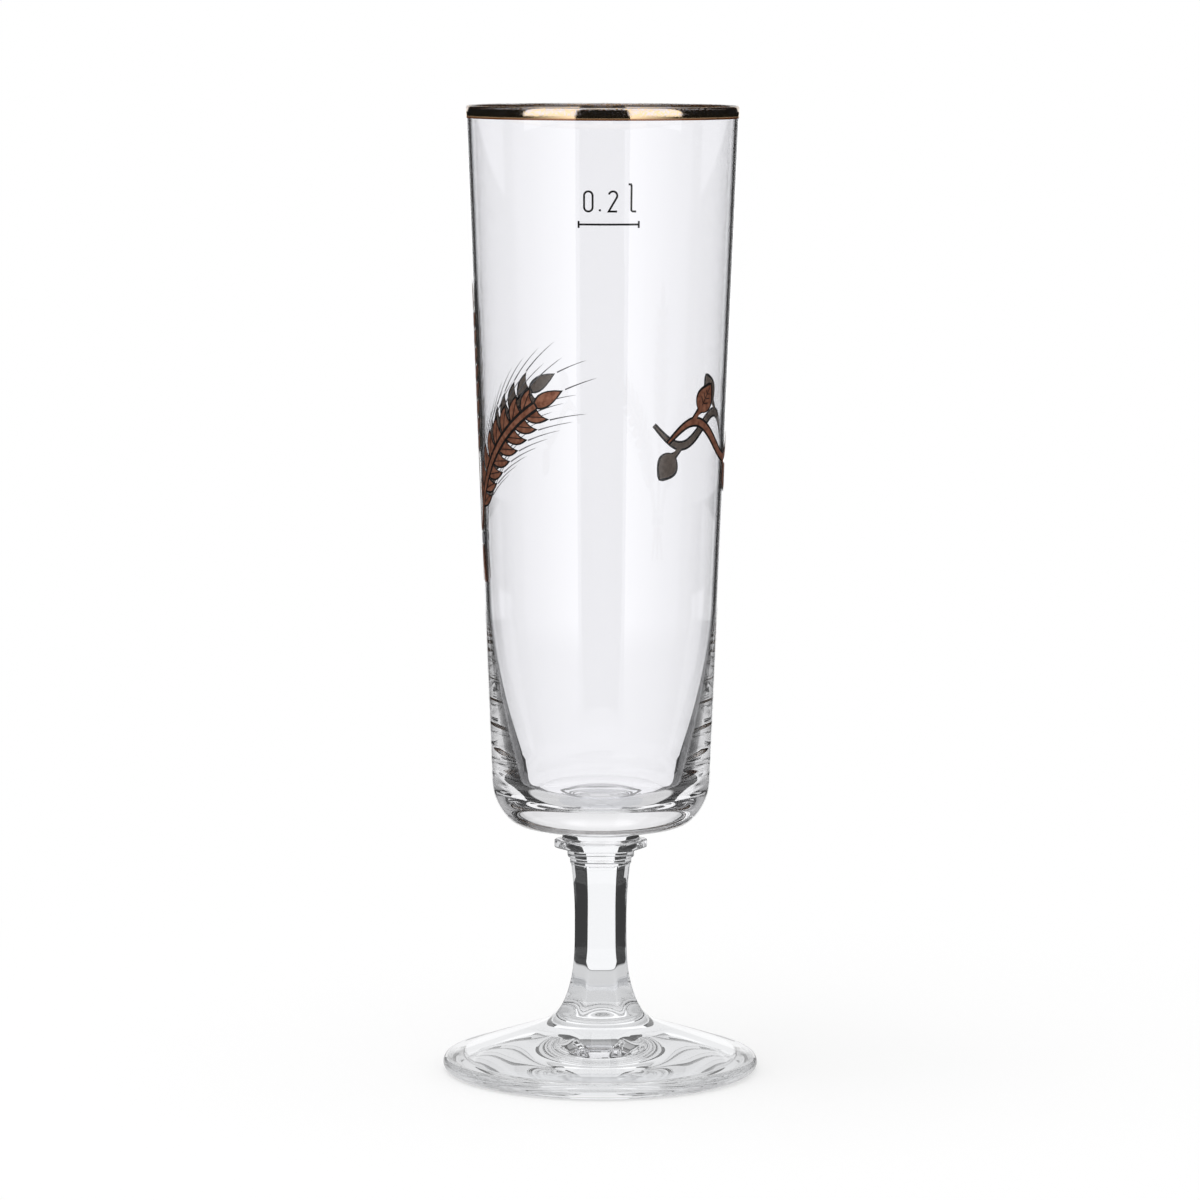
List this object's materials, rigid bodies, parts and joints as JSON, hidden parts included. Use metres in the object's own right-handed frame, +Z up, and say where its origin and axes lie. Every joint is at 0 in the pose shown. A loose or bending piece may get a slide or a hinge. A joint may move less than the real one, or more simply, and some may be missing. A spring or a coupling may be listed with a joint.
{
  "type": "stemmed pilsner glass",
  "caption": "Tall tapering stemmed beer glass with a gold rim band, heavy base, six-sided collar and faceted stem on a round foot, with a fill mark and fired barley and vine prints.",
  "frame": {"origin": "centre of the foot's resting ring, on the table", "axes": "+Z up along the axis of the glass; -Y is the front, which carries the fill mark; +X is to the right of someone facing it"},
  "size_m": [0.0654, 0.0654, 0.1999],
  "materials": {
    "clear_glass": "clear, fire polished",
    "fired_gold": "bright gold, fired on, slightly worn at the lip",
    "black_enamel": "screen printed and fired, satin",
    "copper_enamel": "bronze lustre, screen printed and fired",
    "silver_enamel": "grey lustre, screen printed and fired"
  },
  "bodies": {
    "root": {"foot": "clear_glass", "stem": "clear_glass", "collar": "clear_glass", "bowl": "clear_glass", "gold_rim_band": "fired_gold", "fill_line": "black_enamel", "fill_digit_zero": "black_enamel", "fill_point": "black_enamel", "fill_digit_two": "black_enamel", "fill_letter_litre": "black_enamel", "barley_middle_outline": "black_enamel", "barley_middle_ear": "copper_enamel", "barley_front_outline": "black_enamel", "barley_front_ear": "copper_enamel", "barley_rear_outline": "black_enamel", "barley_rear_ear": "copper_enamel", "sheaf_tie": "silver_enamel", "sheaf_stubble": "copper_enamel", "vine_outline": "black_enamel", "vine": "copper_enamel"}
  },
  "joints": []
}
